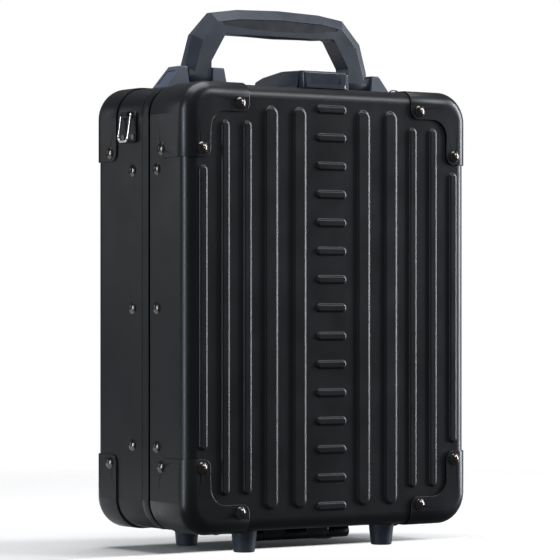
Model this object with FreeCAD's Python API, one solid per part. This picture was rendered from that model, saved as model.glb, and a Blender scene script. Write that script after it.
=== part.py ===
import FreeCAD, Part
import math
import os

# Upright aluminium attache case. Millimetres, +Z up, +X to the right seen from the front,
# the lid faces -Y. Origin: centre of the footprint, on the surface the feet stand on.

# ---- driving dimensions: the two halves ----
CASE_WIDTH = 346.0
CASE_HEIGHT = 440.0
LID_DEPTH = 65.0
REAR_DEPTH = 87.7
GAP = 3.5                # open joint between lid edge and frame band
BAND = 11.4              # visible band of the rear frame
SEAM = 0.4               # hairline between band and rear shell
CORNER_R = 30.0
EDGE_R = 13.0            # rounding between a panel and the side walls
SHEET = 1.2
FOOT_HEIGHT = 22.0
FOOT_TOP_R = 13.0
FOOT_TIP_R = 10.5
FOOT_X = 85.0
FOOT_INSET = 30.0        # foot centre from the outer face of its half
FIT = 0.05               # radial running clearance
CLEAR = 0.5              # free gap between bodies that pass each other

# ---- pressed ribs ----
RIB_RISE = 2.0
WIDE_FLANK = 4.0
WIDE_HALF = 7.3
WIDE_FIRST = 39.4
WIDE_PITCH = 34.35
WIDE_COUNT = 2
NARROW_FLANK = 3.4
NARROW_HALF = 4.2
NARROW_IN = 19.0         # outermost rib from the side wall
NARROW_PITCH = 26.0
RIB_END_MARGIN = 20.0
BEAD_HALF = 3.4
BEAD_LENGTH = 38.0
BEAD_PITCH = 28.3
BEAD_MARGIN = 21.0
BEAD_RISE = 1.8
BEAD_FLANK = 3.0

# ---- corner guards and rivets ----
GUARD_T = 1.8
GUARD_LEG = 73.0
GUARD_ARM = 27.5
GUARD_FILLET = 18.0
LOBE_R = 8.5
FRONT_WING = 50.0
WING_GAP = 14.0          # rear guard wing stays this far behind the handle lugs
RIVET_R = 6.0
RIVET_RISE = 3.0
SHANK_R = 2.0
SHANK_FIT = 0.1
TAIL_R = 3.2
TAIL_T = 0.8
GUARD_RIVET_IN = 17.5    # rivet centre from the outer edge of its arm
GUARD_RIVET_END = 8.5    # rivet centre from the end of its arm
FRAME_RIVET_GAP = 10.5   # frame rivet centre beyond the end of a guard

# ---- frames, seal and linings: insets are measured inwards from the side wall ----
FLANGE_T = 1.5
LID_FLANGE_LENGTH = 27.0
REAR_FLANGE_LENGTH = 28.0
TONGUE_IN = 4.2
TONGUE_T = 2.0
CHANNEL_IN = 8.5
CHANNEL_T = 1.5
CHANNEL_DEPTH = 9.0
BAND_T = 2.4
LINING_IN = 6.5
LINING_T = 1.8
PANEL_LINING_GAP = 2.2   # between the panel's inner face and its lining
DIVIDER_T = 8.0
DIVIDER_FROM_BACK = 48.0
DIVIDER_TOP = 310.0
ORGANISER_T = 3.0

# ---- hinge ----
HINGE_HALF = 67.0
HINGE_DROP = 9.0
KNUCKLE_R = 6.4
KNUCKLES = 5
KNUCKLE_GAP = 0.5
PIN_R = 2.5
LEAF_T = 2.0
LEAF_REACH = 26.0

# ---- handle and lugs ----
LUG_END_MARGIN = 2.0     # lug end from the start of the corner rounding
LUG_FROM_BAND = 5.0
LUG_DEPTH = 27.0
LUG_TOP_DEPTH = 20.0
LUG_HEIGHT = 22.4
LUG_BASE_T = 2.4
PIVOT_HEIGHT = 14.0
PIVOT_R = 3.0
LEG_BOTTOM_R = 11.0
HANDLE_DEPTH = 22.0
HANDLE_RISE = 84.5
GRIP_UNDER = 57.5
BEVEL_DROP = 9.6         # height of the front bevel along the arch's outer edge
LUG_SWING = 15.0         # the leg stays narrow this far above its pivot, to clear the ears

# ---- lock ----
LOCK_HALF_TOP = 26.0
LOCK_HALF_BASE = 30.5
LOCK_BEHIND = 14.7       # end of the lock behind the rear shell's edge
LOCK_WALL = 2.2
LEVER_HALF = 27.0
LEVER_FACE = 8.5         # lever's front face behind the lid's front face
LEVER_PLATE = 8.5
LEVER_PIVOT_UP = 15.5
LEVER_BARREL_R = 2.2
LEVER_PIN_R = 1.0
DIAL_COUNT = 3
DIAL_PITCH = 11.0
DIAL_R = 6.4
DIAL_WIDTH = 6.0
NOTCH_REACH = DIAL_R + 0.5
DIAL_SLOT = 0.4          # free room beside a dial in its slot
AXLE_R = 1.5
HOOK_HALF = 7.0

# ---- strap rings ----
RING_DOWN = 28.2         # ring axis below the top of the case
RING_BACK = 19.0         # ring axis centre behind the middle plane
RING_WIRE_R = 1.4
RING_WIDTH = 17.6
RING_LENGTH = 26.5
RING_LEAN = 8.5
RING_PLATE = (29.0, 31.0, 1.8)

# ---- worked-out places ----
DEPTH = LID_DEPTH + GAP + BAND + SEAM + REAR_DEPTH
FRONT = -DEPTH / 2
BACK = DEPTH / 2
LID_EDGE = FRONT + LID_DEPTH
BAND_FRONT = LID_EDGE + GAP
BAND_BACK = BAND_FRONT + BAND
REAR_EDGE = BAND_BACK + SEAM
BOTTOM = FOOT_HEIGHT
TOP = BOTTOM + CASE_HEIGHT
MIDDLE = (BOTTOM + TOP) / 2
HALF_W = CASE_WIDTH / 2
HALF_H = CASE_HEIGHT / 2
HINGE_Y = (LID_EDGE + BAND_FRONT) / 2
HINGE_Z = BOTTOM - HINGE_DROP
LUG_FRONT = BAND_BACK + LUG_FROM_BAND
LUG_END = HALF_W - CORNER_R - LUG_END_MARGIN
PIVOT_Y = LUG_FRONT + LUG_DEPTH / 2
PIVOT_Z = TOP + PIVOT_HEIGHT
REAR_WING = BACK - LUG_FRONT - LUG_DEPTH - WING_GAP
FLANGE_IN = SHEET
RIVET_Z = HALF_H - GUARD_LEG - FRAME_RIVET_GAP
RIVET_X = HALF_W - GUARD_LEG - FRAME_RIVET_GAP
LID_RIVET_Y = LID_EDGE - 12.0
REAR_RIVET_Y = REAR_EDGE + 17.3

V = FreeCAD.Vector
X_AXIS = V(1, 0, 0)
Y_AXIS = V(0, 1, 0)
Z_AXIS = V(0, 0, 1)
ORIGIN = V(0, 0, 0)


# ---- drawing helpers ----
def outline(corners, place):
    """Face bounded by straight runs; corners are (a, b, radius), place maps (a, b) to a point."""
    count = len(corners)
    stops = []
    for i, (a, b, radius) in enumerate(corners):
        here = V(a, b, 0)
        before = V(*corners[i - 1][:2], 0) - here
        after = V(*corners[(i + 1) % count][:2], 0) - here
        before.normalize()
        after.normalize()
        if radius <= 0:
            stops.append((here, None, here))
            continue
        half = before.getAngle(after) / 2
        run = radius / math.tan(half)
        middle = before + after
        middle.normalize()
        reach = radius / math.sin(half) - radius
        stops.append((here + before * run, here + middle * reach, here + after * run))
    edges = []
    for i, (start, bend, end) in enumerate(stops):
        last = stops[i - 1][2]
        if (start - last).Length > 1e-6:
            edges.append(Part.LineSegment(place(last.x, last.y), place(start.x, start.y)).toShape())
        if bend is not None:
            arc = Part.Arc(place(start.x, start.y), place(bend.x, bend.y), place(end.x, end.y))
            edges.append(arc.toShape())
    return Part.Face(Part.Wire(edges))


def front_view(y):
    """Places an (x, z) drawing in the plane at this y."""
    return lambda a, b: V(a, y, b)


def side_view(x):
    """Places a (y, z) drawing in the plane at this x."""
    return lambda a, b: V(x, a, b)


def plan_view(z):
    """Places an (x, y) drawing in the plane at this z."""
    return lambda a, b: V(a, b, z)


def box(x0, x1, y0, y1, z0, z1):
    return Part.makeBox(x1 - x0, y1 - y0, z1 - z0, V(x0, y0, z0))


def rod(centre, axis, radius, length):
    """Round bar with its middle at centre."""
    return Part.makeCylinder(radius, length, centre - axis * (length / 2), axis)


def mirrored(shape, axis):
    return shape.mirror(ORIGIN, axis)


def slab(inset, y0, y1):
    """Full cross-section of the case, drawn in by an inset, between two planes."""
    w = HALF_W - inset
    h = HALF_H - inset
    r = CORNER_R - inset
    corners = [(-w, MIDDLE - h, r), (w, MIDDLE - h, r), (w, MIDDLE + h, r), (-w, MIDDLE + h, r)]
    return outline(corners, front_view(y0)).extrude(V(0, y1 - y0, 0))


def block(inset, y_panel, y_open):
    """Slab whose edges round over to the panel face at y_panel."""
    solid = slab(inset, y_panel, y_open)
    face_edges = [e for e in solid.Edges if all(abs(v.Point.y - y_panel) < 1e-6 for v in e.Vertexes)]
    return solid.makeFillet(EDGE_R - inset, face_edges)


def band(inset, thickness, y0, y1):
    """Closed band that follows the case's side wall."""
    return slab(inset, y0, y1).cut(slab(inset + thickness, y0 - 1, y1 + 1))


def group(solids):
    """Separate solids of one kind kept in one node."""
    return Part.makeCompound(solids)


def fused(solids):
    return solids[0].fuse(solids[1:]).removeSplitter()


# ---- pressed ribs ----
def rib_profile(half, rise, flank, offset):
    """Cross-section of a rib: flat top and S-shaped flanks of two arcs, parallel-offset inwards."""
    arc_r = (flank ** 2 + rise ** 2) / (4 * rise)
    turn = math.asin(flank / (2 * arc_r))
    base = half + flank / 2
    crown = half - flank / 2
    low_r = arc_r + offset
    high_r = arc_r - offset

    def low(angle):
        return V(base - low_r * math.sin(angle), arc_r - low_r * math.cos(angle), 0)

    def high(angle):
        return V(crown + high_r * math.sin(angle), rise - arc_r + high_r * math.cos(angle), 0)

    under = -offset - 0.4
    right = [Part.LineSegment(V(0, under, 0), V(base, under, 0)).toShape(),
             Part.LineSegment(V(base, under, 0), low(0)).toShape(),
             Part.Arc(low(0), low(turn / 2), low(turn)).toShape(),
             Part.Arc(high(turn), high(turn / 2), high(0)).toShape(),
             Part.LineSegment(high(0), V(0, rise - offset, 0)).toShape()]
    return right, V(0, rise - offset, 0), V(0, under, 0)


def rib(half, rise, flank, length, offset):
    """A rib lying along local Y from -length/2 to length/2, rising along local +Z."""
    right, crown, foot = rib_profile(half, rise, flank, offset)
    closing = Part.LineSegment(crown, foot).toShape()
    half_face = Part.Face(Part.Wire(right + [closing]))
    half_face.rotate(ORIGIN, X_AXIS, 90)
    straight = length / 2 - half - flank / 2
    end = half_face.revolve(ORIGIN, Z_AXIS, 360)
    run = half_face.extrude(V(0, 2 * straight, 0))
    run.translate(V(0, -straight, 0))
    other = run.mirror(ORIGIN, X_AXIS)
    tip = end.copy()
    end.translate(V(0, straight, 0))
    tip.translate(V(0, -straight, 0))
    return fused([run, other, end, tip])


def rib_places():
    """(centre x, half width, flank, length) of each vertical rib, symmetric about the middle."""
    places = [(WIDE_FIRST + i * WIDE_PITCH, WIDE_HALF, WIDE_FLANK) for i in range(WIDE_COUNT)]
    limit = places[-1][0] + WIDE_HALF + NARROW_HALF + 3 * WIDE_FLANK
    x = HALF_W - NARROW_IN
    while x > limit:
        places.append((x, NARROW_HALF, NARROW_FLANK))
        x -= NARROW_PITCH
    ribs = []
    for centre, half, flank in places:
        edge = centre + half + flank / 2
        reach = HALF_H - RIB_END_MARGIN
        if edge > HALF_W - GUARD_LEG - 2:
            reach = HALF_H - GUARD_ARM - 8.5
        if edge > HALF_W - GUARD_ARM - 2:
            reach = HALF_H - GUARD_LEG - 7.5
        ribs += [(centre, half, flank, 2 * reach), (-centre, half, flank, 2 * reach)]
    return ribs


def pressed(offset):
    """All ribs and beads of a panel, standing on the lid's front face."""
    solids = []
    for x, half, flank, length in rib_places():
        one = rib(half, RIB_RISE, flank, length, offset)
        one.rotate(ORIGIN, X_AXIS, 90)
        one.translate(V(x, FRONT, MIDDLE))
        solids.append(one)
    beads = math.floor((HALF_H - BEAD_MARGIN) / BEAD_PITCH)
    for i in range(-beads, beads + 1):
        one = rib(BEAD_HALF, BEAD_RISE, BEAD_FLANK, BEAD_LENGTH, offset)
        one.rotate(ORIGIN, X_AXIS, 90)
        one.rotate(ORIGIN, Y_AXIS, 90)
        one.translate(V(0, FRONT, MIDDLE + i * BEAD_PITCH))
        solids.append(one)
    return solids


def shell(depth, holes):
    """Pressed shell with its panel at the front: skin, ribs and rivet holes."""
    outer = block(0, FRONT, FRONT + depth).fuse(pressed(0))
    inner = block(SHEET, FRONT + SHEET, FRONT + depth + 1).fuse(pressed(SHEET))
    return outer.cut(inner).cut(holes)


# ---- rivets: a place is (point on the outer surface, outward direction, grip) ----
def domed_rivet(place):
    """Domed head, shank through the sheets and a flat tail inside."""
    point, out, grip = place
    sphere_r = (RIVET_R ** 2 + RIVET_RISE ** 2) / (2 * RIVET_RISE)
    rim = 0.4
    cap = Part.makeSphere(sphere_r, V(0, 0, RIVET_RISE - sphere_r + rim))
    head = cap.common(Part.makeCylinder(RIVET_R, RIVET_RISE + rim, V(0, 0, 0.02)))
    shank = Part.makeCylinder(SHANK_R - SHANK_FIT, grip + 0.1, V(0, 0, -grip))
    tail = Part.makeCylinder(TAIL_R, TAIL_T, V(0, 0, -grip - TAIL_T))
    solid = fused([head, shank, tail])
    return turned(solid, out, point)


def turned(solid, out, point):
    """Turns a solid drawn along +Z to the direction out and moves it to point."""
    solid.Placement = FreeCAD.Placement(point, FreeCAD.Rotation(Z_AXIS, out)).multiply(solid.Placement)
    return solid


def drill(place):
    point, out, grip = place
    return rod(point, out, SHANK_R, 2 * grip + 12)


def four_ways(x, z):
    return [(sx * x, MIDDLE + sz * z, sx, sz) for sx in (-1, 1) for sz in (-1, 1)]


def guard_rivets(wing_y, wing_grip):
    """Places of a half's guard rivets, drawn for the lid; wing_y is the side rivets' plane."""
    grip = SHEET + GUARD_T
    long_x = HALF_W - GUARD_RIVET_IN
    long_z = HALF_H - GUARD_LEG + GUARD_RIVET_END
    wide_x = HALF_W - GUARD_LEG + GUARD_RIVET_END + 2
    wide_z = HALF_H - GUARD_RIVET_IN - 2
    places = []
    for x, z, sx, sz in four_ways(long_x, long_z):
        places.append((V(x, FRONT - GUARD_T, z), V(0, -1, 0), grip))
        places.append((V(sx * (HALF_W + GUARD_T), wing_y, z), V(sx, 0, 0), wing_grip))
    for x, z, sx, sz in four_ways(wide_x, wide_z):
        places.append((V(x, FRONT - GUARD_T, z), V(0, -1, 0), grip))
        places.append((V(x, wing_y, MIDDLE + sz * (HALF_H + GUARD_T)), V(0, 0, sz), wing_grip))
    return places


def frame_rivets(y, with_top):
    """Places of the rivets that hold a shell to its frame's flange."""
    grip = SHEET + FLANGE_T
    places = []
    for sx in (-1, 1):
        for z in (-RIVET_Z, 0, RIVET_Z):
            places.append((V(sx * HALF_W, y, MIDDLE + z), V(sx, 0, 0), grip))
        places.append((V(sx * RIVET_X, y, BOTTOM), V(0, 0, -1), grip))
        if with_top:
            places.append((V(sx * RIVET_X, y, TOP), V(0, 0, 1), grip))
    return places


def to_rear(places):
    """The same places on the rear half, which faces the other way."""
    return [(V(p.x, -p.y, p.z), V(o.x, -o.y, o.z), grip) for p, o, grip in places]


def wall_inside(y, radius):
    """Thickness of the side wall at y: the sheet, and the frame's flange where it lies behind."""
    lid_flange = LID_EDGE - LID_FLANGE_LENGTH - radius < y < LID_EDGE
    rear_flange = REAR_EDGE < y < REAR_EDGE + REAR_FLANGE_LENGTH + radius
    return SHEET + FLANGE_T if lid_flange or rear_flange else SHEET


LID_WING_Y = FRONT + FRONT_WING - 7.5
REAR_WING_Y = FRONT + REAR_WING - 12.0
LID_GUARD_RIVETS = guard_rivets(LID_WING_Y, wall_inside(LID_WING_Y, TAIL_R) + GUARD_T)
REAR_GUARD_RIVETS = to_rear(guard_rivets(REAR_WING_Y, wall_inside(-REAR_WING_Y, TAIL_R) + GUARD_T))
LID_FRAME_RIVETS = frame_rivets(LID_RIVET_Y, True)
REAR_FRAME_RIVETS = frame_rivets(REAR_RIVET_Y, False)


# ---- corner guards ----
def guard(wing):
    """Upper right guard of a half, drawn for the lid: a skin over the corner, cut to an L."""
    layer = block(-GUARD_T, FRONT - GUARD_T, FRONT + wing).cut(block(0, FRONT, FRONT + wing + 1))
    far = 10.0
    x0 = HALF_W - GUARD_LEG
    x1 = HALF_W - GUARD_ARM
    z0 = TOP - GUARD_LEG
    z1 = TOP - GUARD_ARM
    ell = [(x1, z0, LOBE_R), (HALF_W + far, z0, 0), (HALF_W + far, TOP + far, 0),
           (x0, TOP + far, 0), (x0, z1, LOBE_R), (x1, z1, GUARD_FILLET)]
    skin = layer.common(outline(ell, front_view(FRONT - far)).extrude(V(0, wing + 2 * far, 0)))
    y1 = FRONT + wing
    side = [(FRONT - far, z0, 0), (y1, z0, LOBE_R), (y1, TOP + far, 0), (FRONT - far, TOP + far, 0)]
    skin = skin.common(outline(side, side_view(0)).extrude(V(HALF_W + far, 0, 0)))
    plan = [(x0, FRONT - far, 0), (HALF_W + far, FRONT - far, 0), (HALF_W + far, y1, 0), (x0, y1, LOBE_R)]
    return skin.common(outline(plan, plan_view(MIDDLE)).extrude(V(0, 0, HALF_H + far)))


def guards(prefix, wing, rear, places):
    """The four guards of a half, each its own node."""
    holes = [drill(p) for p in places]
    one = guard(wing)
    nodes = {}
    for side, flip_x in (("right", False), ("left", True)):
        for level, flip_z in (("top", False), ("bottom", True)):
            solid = one.copy()
            if flip_x:
                solid = mirrored(solid, X_AXIS)
            if flip_z:
                solid = solid.mirror(V(0, 0, MIDDLE), Z_AXIS)
            if rear:
                solid = mirrored(solid, Y_AXIS)
            nodes[prefix + "_guard_" + level + "_" + side] = solid.cut(holes)
    return nodes


# ---- screws and blind holes ----
def screw(point, out, length, radius, head_r, head_t):
    """Screw whose head's underside is at point; the shank runs the other way."""
    head = Part.makeCylinder(head_r, head_t)
    socket = Part.makeCylinder(head_r * 0.5, head_t * 0.5, V(0, 0, head_t * 0.5))
    shank = Part.makeCylinder(radius, length, V(0, 0, -length))
    return turned(fused([head.cut(socket), shank]), out, point)


# ---- feet ----
FOOT_SCREW_R = 2.0
FOOT_BORE_R = 5.0
FOOT_BORE_DEPTH = 13.0
FOOT_SCREW_LENGTH = 15.0


def foot(x, y):
    """Tapered rubber foot with a counterbored screw hole."""
    body = Part.makeCone(FOOT_TIP_R, FOOT_TOP_R, FOOT_HEIGHT, V(x, y, 0))
    tip = [e for e in body.Edges if abs(e.BoundBox.ZMax) < 1e-6]
    body = body.makeFillet(1.5, tip)
    bore = Part.makeCylinder(FOOT_BORE_R, FOOT_BORE_DEPTH, V(x, y, 0))
    return body.cut([bore, Part.makeCylinder(FOOT_SCREW_R + SHANK_FIT, FOOT_HEIGHT + 1, V(x, y, 0))])


def foot_screw(x, y):
    """Screw up through the foot into the shell, with a nut plate inside."""
    solid = screw(V(x, y, FOOT_BORE_DEPTH), V(0, 0, -1), FOOT_SCREW_LENGTH, FOOT_SCREW_R, 4.0, 2.5)
    nut = Part.makeCylinder(3.8, 2.0, V(x, y, BOTTOM + SHEET))
    return fused([solid, nut])


LID_FOOT_Y = FRONT + FOOT_INSET
REAR_FOOT_Y = BACK - FOOT_INSET - 4.0


def foot_holes(y):
    return [rod(V(s * FOOT_X, y, BOTTOM), Z_AXIS, FOOT_SCREW_R + SHANK_FIT, 10) for s in (-1, 1)]


# ---- hinge ----
LEAF_RIVETS_X = (-54.0, -18.0, 18.0, 54.0)


def leaf_rivet_places(y):
    grip = LEAF_T + SHEET + FLANGE_T
    return [(V(x, y, BOTTOM - LEAF_T), V(0, 0, -1), grip) for x in LEAF_RIVETS_X]


def leaf_rivet(place):
    """Flat-headed rivet of a hinge leaf."""
    point, out, grip = place
    head = Part.makeCylinder(3.4, 1.2)
    shank = Part.makeCylinder(SHANK_R - SHANK_FIT, grip, V(0, 0, -grip))
    tail = Part.makeCylinder(TAIL_R, TAIL_T, V(0, 0, -grip - TAIL_T))
    return turned(fused([head, shank, tail]), out, point)


LID_LEAF_Y = HINGE_Y - 17.0
REAR_LEAF_Y = HINGE_Y + 20.0


def hinge_leaf(side, first, bore):
    """Leaf with every second knuckle; side is -1 for the lid and 1 for the rear half."""
    near = HINGE_Y + side * (KNUCKLE_R - LEAF_T)
    far = HINGE_Y + side * (KNUCKLE_R + LEAF_REACH)
    edge = HINGE_Y + side * KNUCKLE_R
    plate = box(-HINGE_HALF, HINGE_HALF, min(near, far), max(near, far), BOTTOM - LEAF_T, BOTTOM)
    pitch = 2 * HINGE_HALF / KNUCKLES
    solids = [plate]
    for i in range(first, KNUCKLES, 2):
        x0 = -HINGE_HALF + i * pitch + KNUCKLE_GAP / 2
        x1 = -HINGE_HALF + (i + 1) * pitch - KNUCKLE_GAP / 2
        solids.append(Part.makeCylinder(KNUCKLE_R, x1 - x0, V(x0, HINGE_Y, HINGE_Z), X_AXIS))
        solids.append(box(x0, x1, min(near, edge), max(near, edge), HINGE_Z, BOTTOM - LEAF_T / 2))
    y = LID_LEAF_Y if side < 0 else REAR_LEAF_Y
    holes = [drill(p) for p in leaf_rivet_places(y)]
    holes.append(rod(V(0, HINGE_Y, HINGE_Z), X_AXIS, bore, 2 * HINGE_HALF + 2))
    return fused(solids).cut(holes)


# ---- handle ----
LEG_OUT = LUG_END - 28.0
LEG_IN = LUG_END - 56.2


def handle_frame():
    """Moulded arch with flat facets: outline swept in depth, outer and back edges bevelled."""
    mid_y = PIVOT_Y
    y0 = mid_y - HANDLE_DEPTH / 2
    top = TOP + HANDLE_RISE
    knee = TOP + 55.0
    hip = TOP + 26.0
    low = PIVOT_Z - LEG_BOTTOM_R
    right = [(0, top, 0), (LEG_OUT - 62, top - 1.6, 0), (LEG_OUT - 31, top - 6, 0),
             (LEG_OUT - 8.5, knee, 0), (LEG_OUT, hip, 0), (LEG_OUT - 1.2, low, 0),
             (LEG_IN + 0.5, low, 0), (LEG_IN + 0.5, PIVOT_Z + LUG_SWING, 4),
             (LEG_OUT - 46, TOP + GRIP_UNDER + 1, 5),
             (LEG_OUT - 60, TOP + GRIP_UNDER, 0)]
    left = [(-x, z, r) for x, z, r in reversed(right[1:])]
    solid = outline(right + left, front_view(y0)).extrude(V(0, HANDLE_DEPTH, 0))
    bevels = []
    upper = right[:5]
    for (xa, za, _), (xb, zb, _) in zip(upper[:-1], upper[1:]):
        for s in (1, -1):
            bevels += edge_bevels(V(s * xa, 0, za), V(s * xb, 0, zb), y0)
    solid = solid.cut(bevels)
    for s in (1, -1):
        solid = solid.cut(leg_end_relief(s))
    return solid


def edge_bevels(a, b, y0):
    """Two wedges that bevel the arch's outer edge from a to b, at the front and at the back."""
    along = b - a
    out = V(-along.z, 0, along.x)
    out.normalize()
    if out.dot(V(a.x + b.x, 0, 2 * (a.z - TOP))) < 0:
        out = out * -1
    run = V(along.x, 0, along.z)
    run.normalize()
    start = a - run * 6
    length = along.Length + 12
    y1 = y0 + HANDLE_DEPTH
    wedges = []
    for face, front_y, depth, drop in ((y0, y0 - 1, 6.5, BEVEL_DROP), (y1, y1 + 1, 8.0, 5.0)):
        tip_y = face + depth if front_y < face else face - depth
        beyond = drop / depth
        p0 = start - out * (drop + beyond) + V(0, front_y, 0)
        p1 = start + V(0, tip_y, 0)
        p2 = start + out * 4 + V(0, tip_y, 0)
        p3 = start + out * 4 + V(0, front_y, 0)
        wedges.append(Part.Face(Part.makePolygon([p0, p1, p2, p3, p0])).extrude(run * length))
    return wedges


def leg_end_relief(side):
    """Everything of a leg end outside its round about the pivot, plus the pivot bore."""
    far = 40.0
    x = side * (LEG_IN + LEG_OUT) / 2
    below = box(x - far, x + far, PIVOT_Y - far, PIVOT_Y + far, PIVOT_Z - far, PIVOT_Z)
    keep = rod(V(x, PIVOT_Y, PIVOT_Z), X_AXIS, LEG_BOTTOM_R, 2 * far)
    return [below.cut(keep), rod(V(x, PIVOT_Y, PIVOT_Z), X_AXIS, PIVOT_R + FIT, 2 * far)]


INSERT_HALF = LEG_OUT - 41.0
INSERT_ROUND = 6.5
BELLY = 3.0              # the grip hangs this far lower at its middle than at its ends
CORE_HALF = 5.0          # half depth of the tenon that the grip clips over


def insert_block(grow):
    """The soft grip under the arch: follows the bevel above, hangs in a belly, round below."""
    y0 = PIVOT_Y - HANDLE_DEPTH / 2 + 0.2 - grow
    y1 = PIVOT_Y + HANDLE_DEPTH / 2 - 0.2 + grow
    crest = TOP + HANDLE_RISE - BEVEL_DROP - 1.0 + grow
    end = INSERT_HALF + grow
    shoulder = LEG_OUT - 62
    low = TOP + GRIP_UNDER + 1.5 - grow
    half = [(0, crest, 0), (shoulder, crest - 1.6, 0), (end, crest - 5.0, 0),
            (end - 5.0, low + 1.0, 0), (end / 2, low - BELLY * 0.7, 80), (0, low - BELLY, 0)]
    corners = half + [(-x, z, r) for x, z, r in reversed(half[1:-1])]
    solid = outline(corners, front_view(y0)).extrude(V(0, y1 - y0, 0))
    lower = [e for e in solid.Edges if e.BoundBox.ZMax < low + 0.5 and e.BoundBox.YLength < 1e-6]
    return solid.makeFillet(INSERT_ROUND, lower)


def handle_parts():
    tenon = box(-INSERT_HALF - 2, INSERT_HALF + 2, PIVOT_Y - CORE_HALF, PIVOT_Y + CORE_HALF,
                TOP + GRIP_UNDER + 6, TOP + HANDLE_RISE - 8)
    mortise = box(-INSERT_HALF - 9, INSERT_HALF + 9, PIVOT_Y - CORE_HALF - 0.2, PIVOT_Y + CORE_HALF + 0.2,
                  TOP + GRIP_UNDER + 5.8, TOP + HANDLE_RISE)
    frame = handle_frame().cut(insert_block(0.2).cut(tenon))
    return {"handle_frame": frame, "handle_grip": insert_block(0).cut(mortise)}


def handle_lug():
    """Right lug: base plate with an inner and an outer ear, bored for the pivot pin."""
    y0 = LUG_FRONT
    y1 = LUG_FRONT + LUG_DEPTH
    inset = (LUG_DEPTH - LUG_TOP_DEPTH) / 2
    side = [(y0, TOP, 0), (y1, TOP, 0), (y1 - inset, TOP + LUG_HEIGHT, 1.5),
            (y0 + inset / 3, TOP + LUG_HEIGHT, 1.5)]
    length = LUG_END + 20
    raw = outline(side, side_view(0)).extrude(V(length, 0, 0))
    inner0 = LEG_IN - 17.5
    front = [(inner0, TOP, 0), (LUG_END, TOP, 0), (LUG_END - 17.5, TOP + LUG_HEIGHT, 0),
             (LUG_END - 25.2, TOP + LUG_HEIGHT, 0), (LUG_END - 27.6, TOP + LUG_BASE_T, 0),
             (LEG_IN - CLEAR, TOP + LUG_BASE_T, 0), (LEG_IN - CLEAR, TOP + LUG_HEIGHT, 0),
             (inner0 + 4, TOP + LUG_HEIGHT, 0)]
    solid = raw.common(outline(front, front_view(y0 - 5)).extrude(V(0, LUG_DEPTH + 10, 0)))
    bore = rod(V(0, PIVOT_Y, PIVOT_Z), X_AXIS, PIVOT_R, 2 * (LUG_END - 17))
    panel = lug_panel(y0, y1)
    return solid.cut([bore, panel] + lug_screw_holes())


def lug_panel(y0, y1):
    """Shallow recess in the sloping outer face of the lug."""
    slope = V(-17.5, 0, LUG_HEIGHT)
    slope.normalize()
    out = V(slope.z, 0, -slope.x)
    foot = V(LUG_END, 0, TOP) + slope * 5 - out * 0.8
    tip = V(LUG_END, 0, TOP) + slope * 23 - out * 0.8
    face = Part.Face(Part.makePolygon([foot + V(0, y0 + 4.5, 0), foot + V(0, y1 - 4.5, 0),
                                       tip + V(0, y1 - 7, 0), tip + V(0, y0 + 5.5, 0),
                                       foot + V(0, y0 + 4.5, 0)]))
    return face.extrude(out * 3)


LUG_SCREWS_X = (LEG_IN - 9.0, LUG_END - 17.0)
LUG_SCREW_R = 2.0
LUG_SCREW_LENGTH = 11.5
LUG_SCREW_DEPTH = 9.0
BACKING_T = 1.6


def lug_screw_holes():
    return [Part.makeCylinder(LUG_SCREW_R, LUG_SCREW_DEPTH, V(x, PIVOT_Y, TOP)) for x in LUG_SCREWS_X]


def lug_wall_holes():
    return [rod(V(s * x, PIVOT_Y, TOP), Z_AXIS, LUG_SCREW_R + SHANK_FIT, 12)
            for s in (-1, 1) for x in LUG_SCREWS_X]


def backing_plates():
    z = TOP - SHEET - FLANGE_T
    plate = box(LEG_IN - 17, LUG_END - 9, PIVOT_Y - 10, PIVOT_Y + 8, z - BACKING_T, z)
    plate = plate.cut([rod(V(x, PIVOT_Y, z), Z_AXIS, LUG_SCREW_R + SHANK_FIT, 10) for x in LUG_SCREWS_X])
    return group([plate, mirrored(plate, X_AXIS)])


def lug_screws():
    z = TOP - SHEET - FLANGE_T - BACKING_T
    one = [screw(V(x, PIVOT_Y, z), V(0, 0, -1), LUG_SCREW_LENGTH, LUG_SCREW_R - SHANK_FIT, 3.6, 1.8)
           for x in LUG_SCREWS_X]
    return group(one + [mirrored(s, X_AXIS) for s in one])


def pivot_pins():
    x0 = LEG_IN - 12.0
    x1 = LUG_END - 17.5
    pin = Part.makeCylinder(PIVOT_R, x1 - x0, V(x0, PIVOT_Y, PIVOT_Z), X_AXIS)
    return group([pin, mirrored(pin, X_AXIS)])


# ---- lock ----
LOCK_FRONT = FRONT + LEVER_FACE + LEVER_PLATE + 0.6
LOCK_BACK = REAR_EDGE + LOCK_BEHIND
LEVER_Y = LOCK_FRONT + 2.2
LEVER_Z = TOP + LEVER_PIVOT_UP
DIAL_Y = REAR_EDGE - 0.3
DIAL_Z = TOP + 8.9
HOOK_Y = LID_EDGE - 13.0
HOOK_Z = TOP + 9.5
HOOK_TIP_Y = HOOK_Y - 16.0
HOOK_PIN_R = 1.5
LOCK_BASE_T = 2.0


def lock_side(inset, under):
    """Side outline of the lock housing, drawn in by an inset."""
    i = inset
    return [(LOCK_FRONT, TOP + under, 0), (LOCK_BACK - i, TOP + under, 0),
            (LOCK_BACK - i, TOP + 10 - i, 3), (LOCK_BACK - 12, TOP + 13.9 - i, 20),
            (FRONT + 50, TOP + 18.4 - i, 60), (LOCK_FRONT, TOP + 17.6 - i, 0)]


def lock_front(inset, under):
    """Front outline of the lock housing, drawn in by an inset."""
    base = LOCK_HALF_BASE - inset
    top = LOCK_HALF_TOP - inset
    return [(-base, TOP + under, 0), (base, TOP + under, 0), (base - 1.5, TOP + 3, 8),
            (top, TOP + 22 - inset, 0), (-top, TOP + 22 - inset, 0), (-base + 1.5, TOP + 3, 8)]


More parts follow.
